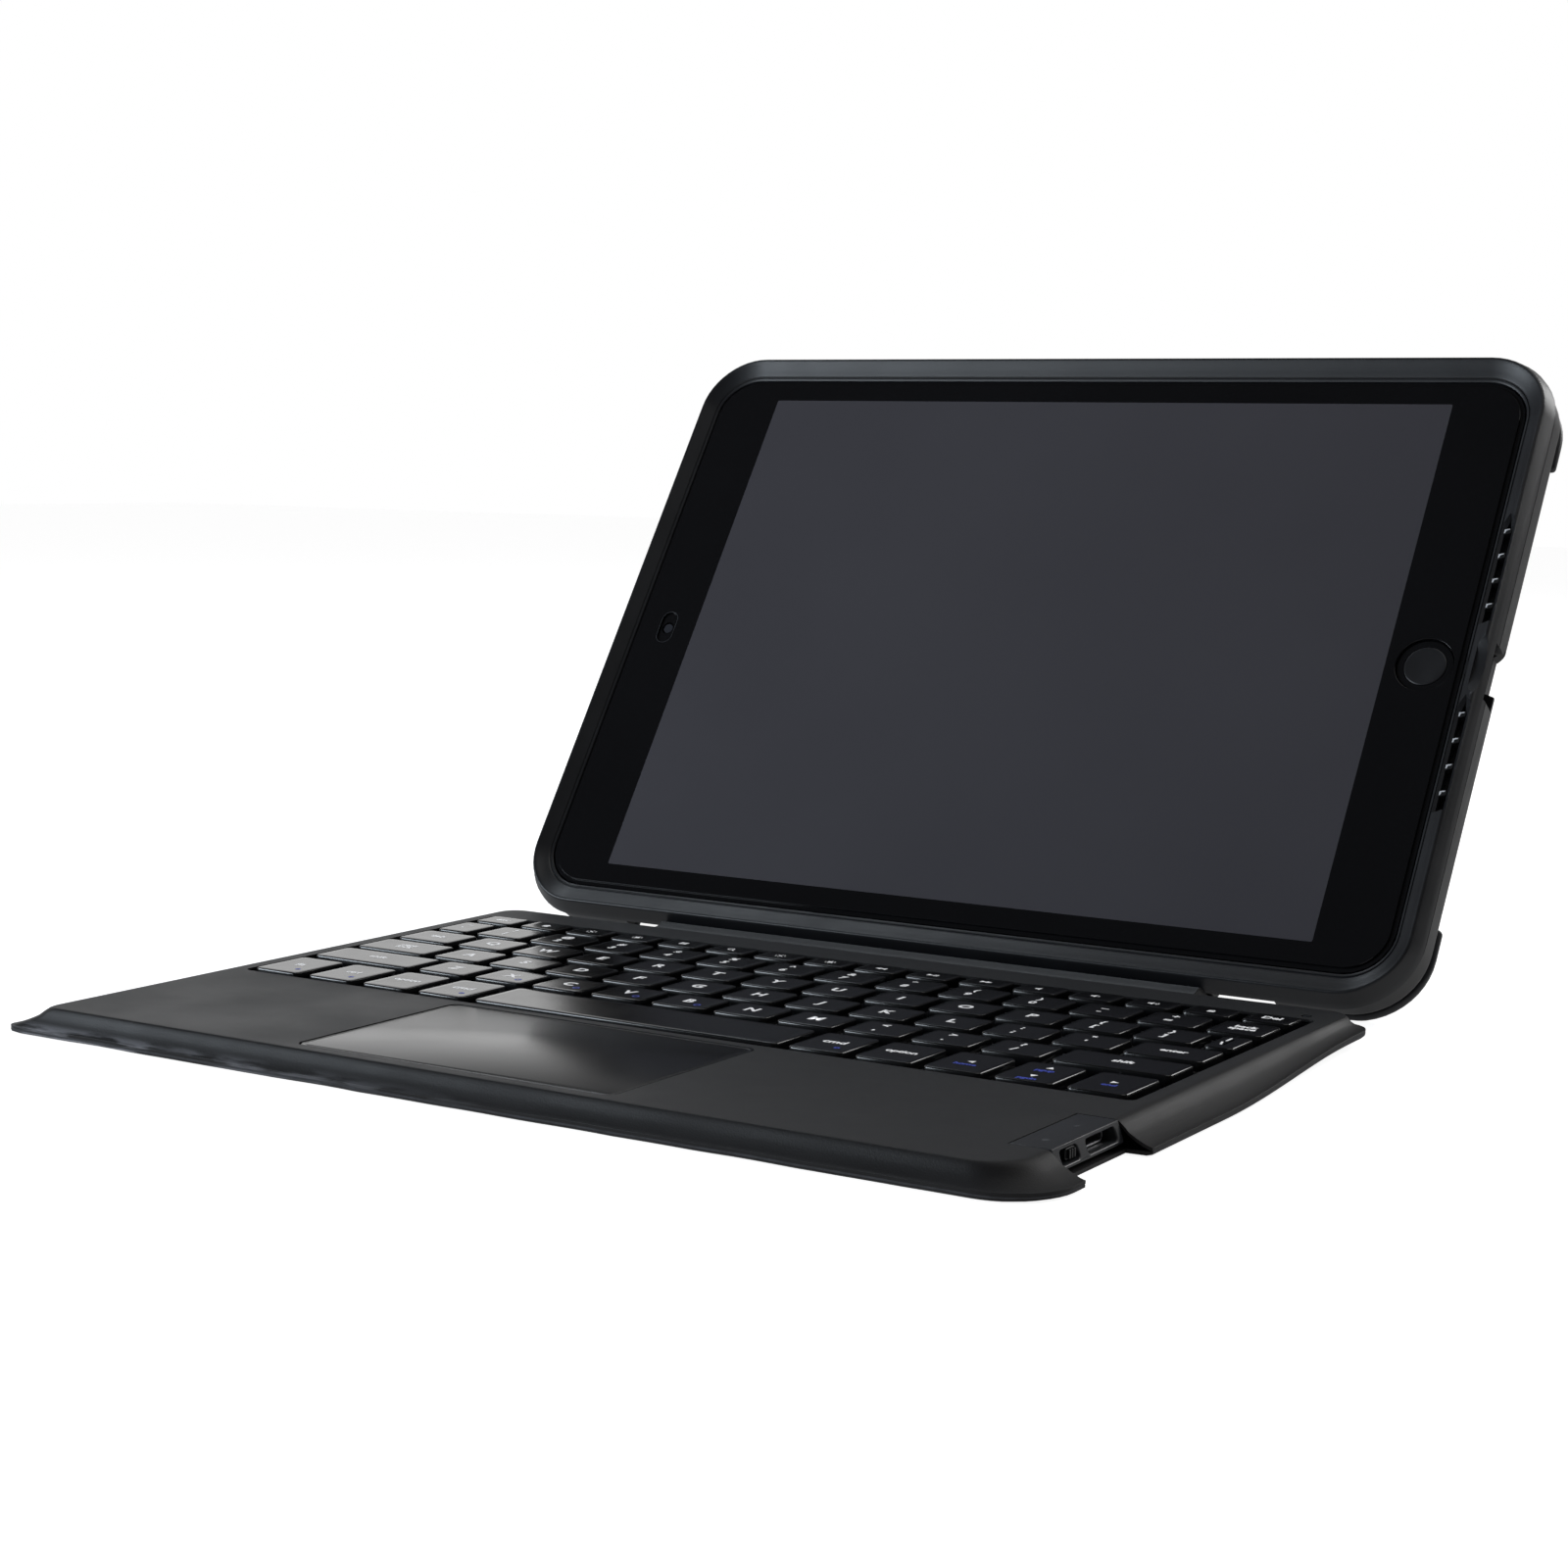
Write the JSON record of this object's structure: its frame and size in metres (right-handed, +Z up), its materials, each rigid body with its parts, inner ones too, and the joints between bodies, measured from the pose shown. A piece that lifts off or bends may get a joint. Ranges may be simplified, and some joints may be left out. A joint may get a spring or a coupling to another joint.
{
  "type": "tablet keyboard case",
  "caption": "Black tablet keyboard case, open: keyboard folio with trackpad and side ports, rugged case with corner bumpers on a flexible hinge, kickstand and fitted tablet.",
  "frame": {"origin": "centre of the keyboard's flat underside", "axes": "+X to the user's right, +Y away from the user towards the tablet, +Z up from the desk"},
  "size_m": [0.2612, 0.3006, 0.1618],
  "materials": {
    "soft_skin": "matte polyurethane skin with a fine grain",
    "black_plastic": "satin",
    "grey_plastic": "satin dark grey",
    "keycap_plastic": "semi-gloss black with white legends",
    "black_rubber": "satin soft black",
    "flap_fabric": "matte black",
    "steel": "brushed",
    "circuit_board": "satin",
    "membrane_film": "translucent film",
    "battery_foil": "foil wrap",
    "black_glass": "polished black",
    "dark_screen": "dark, switched off",
    "grey_aluminium": "blasted and anodised",
    "lamp_lens": "clear lens"
  },
  "bodies": {
    "keyboard": {"base_skin": "soft_skin", "bottom_tray": "black_plastic", "deck_frame": "black_plastic", "deck_skin": "soft_skin", "key_plate": "steel", "key_membrane": "membrane_film", "dome_sheet": "black_rubber", "battery_pack": "battery_foil", "main_board": "circuit_board", "sleep_magnet": "steel", "status_lamp": "lamp_lens", "trackpad_switch": "steel", "port_module": "grey_plastic", "charging_socket": "steel", "flap_keyboard_side": "flap_fabric"},
    "keys_function_row_body": {"keys_function_row": "keycap_plastic"},
    "keys_number_row_body": {"keys_number_row": "keycap_plastic"},
    "keys_q_row_body": {"keys_q_row": "keycap_plastic"},
    "keys_a_row_body": {"keys_a_row": "keycap_plastic"},
    "keys_z_row_body": {"keys_z_row": "keycap_plastic"},
    "keys_left_modifiers_body": {"keys_left_modifiers": "keycap_plastic"},
    "keys_right_modifiers_body": {"keys_right_modifiers": "keycap_plastic"},
    "key_backspace_body": {"key_backspace": "keycap_plastic"},
    "key_tab_body": {"key_tab": "keycap_plastic"},
    "key_caps_lock_body": {"key_caps_lock": "keycap_plastic"},
    "key_enter_body": {"key_enter": "keycap_plastic"},
    "key_shift_left_body": {"key_shift_left": "keycap_plastic"},
    "key_shift_right_body": {"key_shift_right": "keycap_plastic"},
    "key_space_body": {"key_space": "keycap_plastic"},
    "key_arrow_left_body": {"key_arrow_left": "keycap_plastic"},
    "key_arrow_up_down_body": {"key_arrow_up_down": "keycap_plastic"},
    "key_arrow_right_body": {"key_arrow_right": "keycap_plastic"},
    "trackpad": {"trackpad_glass": "black_glass", "trackpad_board": "circuit_board"},
    "power_switch_body": {"power_switch": "black_plastic"},
    "case": {"front_frame": "black_rubber", "rear_shell": "black_plastic", "corner_bumper_bottom_left": "black_rubber", "corner_bumper_bottom_right": "black_rubber", "corner_bumper_top_left": "black_rubber", "corner_bumper_top_right": "black_rubber", "camera_ring": "grey_plastic", "flap_bar": "black_plastic", "flap_screw_left": "steel", "flap_screw_right": "steel", "flap_case_side": "flap_fabric", "kickstand_bracket": "black_plastic", "kickstand_axle": "steel"},
    "volume_up_cover_body": {"volume_up_cover": "black_rubber"},
    "volume_down_cover_body": {"volume_down_cover": "black_rubber"},
    "power_cover_body": {"power_cover": "black_rubber"},
    "kickstand": {"kickstand_leg": "black_plastic", "kickstand_foot": "black_rubber"},
    "tablet": {"tablet_housing": "grey_aluminium", "tablet_glass": "black_glass", "display_panel": "dark_screen", "screen_film": "black_glass", "front_camera": "lamp_lens"},
    "home_button_body": {"home_button": "black_glass"}
  },
  "joints": [
    {"name": "case_hinge", "type": "hinge", "parent": "keyboard", "child": "case", "pos_m": [0, 0.0951, 0.0059], "axis": [1, 0, 0], "range_deg": [0, 123.37]},
    {"name": "kickstand_hinge", "type": "hinge", "parent": "case", "child": "kickstand", "pos_m": [0, 0.16381, 0.07931], "axis": [1, 0, 0], "range_deg": [-53.37, 55]},
    {"name": "tablet_slide", "type": "slide", "parent": "case", "child": "tablet", "axis": [0, 0.8351, -0.55], "range_m": [-0.03, 0]},
    {"name": "keys_function_row_press", "type": "slide", "parent": "keyboard", "child": "keys_function_row_body", "axis": [0, 0, -1], "range_m": [0, 0.0012], "stiffness_N_per_m": 1500, "springref_m": -0.0003},
    {"name": "keys_number_row_press", "type": "slide", "parent": "keyboard", "child": "keys_number_row_body", "axis": [0, 0, -1], "range_m": [0, 0.0012], "stiffness_N_per_m": 1500, "springref_m": -0.0003},
    {"name": "keys_q_row_press", "type": "slide", "parent": "keyboard", "child": "keys_q_row_body", "axis": [0, 0, -1], "range_m": [0, 0.0012], "stiffness_N_per_m": 1500, "springref_m": -0.0003},
    {"name": "keys_a_row_press", "type": "slide", "parent": "keyboard", "child": "keys_a_row_body", "axis": [0, 0, -1], "range_m": [0, 0.0012], "stiffness_N_per_m": 1500, "springref_m": -0.0003},
    {"name": "keys_z_row_press", "type": "slide", "parent": "keyboard", "child": "keys_z_row_body", "axis": [0, 0, -1], "range_m": [0, 0.0012], "stiffness_N_per_m": 1500, "springref_m": -0.0003},
    {"name": "keys_left_modifiers_press", "type": "slide", "parent": "keyboard", "child": "keys_left_modifiers_body", "axis": [0, 0, -1], "range_m": [0, 0.0012], "stiffness_N_per_m": 1500, "springref_m": -0.0003},
    {"name": "keys_right_modifiers_press", "type": "slide", "parent": "keyboard", "child": "keys_right_modifiers_body", "axis": [0, 0, -1], "range_m": [0, 0.0012], "stiffness_N_per_m": 1500, "springref_m": -0.0003},
    {"name": "key_backspace_press", "type": "slide", "parent": "keyboard", "child": "key_backspace_body", "axis": [0, 0, -1], "range_m": [0, 0.0012], "stiffness_N_per_m": 400, "springref_m": -0.0003},
    {"name": "key_tab_press", "type": "slide", "parent": "keyboard", "child": "key_tab_body", "axis": [0, 0, -1], "range_m": [0, 0.0012], "stiffness_N_per_m": 400, "springref_m": -0.0003},
    {"name": "key_caps_lock_press", "type": "slide", "parent": "keyboard", "child": "key_caps_lock_body", "axis": [0, 0, -1], "range_m": [0, 0.0012], "stiffness_N_per_m": 400, "springref_m": -0.0003},
    {"name": "key_enter_press", "type": "slide", "parent": "keyboard", "child": "key_enter_body", "axis": [0, 0, -1], "range_m": [0, 0.0012], "stiffness_N_per_m": 400, "springref_m": -0.0003},
    {"name": "key_shift_left_press", "type": "slide", "parent": "keyboard", "child": "key_shift_left_body", "axis": [0, 0, -1], "range_m": [0, 0.0012], "stiffness_N_per_m": 400, "springref_m": -0.0003},
    {"name": "key_shift_right_press", "type": "slide", "parent": "keyboard", "child": "key_shift_right_body", "axis": [0, 0, -1], "range_m": [0, 0.0012], "stiffness_N_per_m": 400, "springref_m": -0.0003},
    {"name": "key_space_press", "type": "slide", "parent": "keyboard", "child": "key_space_body", "axis": [0, 0, -1], "range_m": [0, 0.0012], "stiffness_N_per_m": 400, "springref_m": -0.0003},
    {"name": "key_arrow_left_press", "type": "slide", "parent": "keyboard", "child": "key_arrow_left_body", "axis": [0, 0, -1], "range_m": [0, 0.0012], "stiffness_N_per_m": 400, "springref_m": -0.0003},
    {"name": "key_arrow_up_down_press", "type": "slide", "parent": "keyboard", "child": "key_arrow_up_down_body", "axis": [0, 0, -1], "range_m": [0, 0.0012], "stiffness_N_per_m": 400, "springref_m": -0.0003},
    {"name": "key_arrow_right_press", "type": "slide", "parent": "keyboard", "child": "key_arrow_right_body", "axis": [0, 0, -1], "range_m": [0, 0.0012], "stiffness_N_per_m": 400, "springref_m": -0.0003},
    {"name": "trackpad_click", "type": "hinge", "parent": "keyboard", "child": "trackpad", "pos_m": [0, -0.0276, 0.0054], "axis": [1, 0, 0], "range_deg": [0, 0.8], "stiffness_Nm_per_rad": 8, "springref_deg": -0.23},
    {"name": "power_switch_slide", "type": "slide", "parent": "keyboard", "child": "power_switch_body", "axis": [0, -1, 0], "range_m": [0, 0.0028]},
    {"name": "volume_up_press", "type": "slide", "parent": "case", "child": "volume_up_cover_body", "axis": [0, -0.55, -0.8351], "range_m": [0, 0.0005], "stiffness_N_per_m": 2000, "springref_m": -0.0003},
    {"name": "volume_down_press", "type": "slide", "parent": "case", "child": "volume_down_cover_body", "axis": [0, -0.55, -0.8351], "range_m": [0, 0.0005], "stiffness_N_per_m": 2000, "springref_m": -0.0003},
    {"name": "power_press", "type": "slide", "parent": "case", "child": "power_cover_body", "axis": [1, 0, 0], "range_m": [0, 0.0005], "stiffness_N_per_m": 2000, "springref_m": -0.0003},
    {"name": "home_press", "type": "slide", "parent": "tablet", "child": "home_button_body", "axis": [0, 0.8351, -0.55], "range_m": [0, 0.0003], "stiffness_N_per_m": 2000, "springref_m": -0.0003}
  ]
}
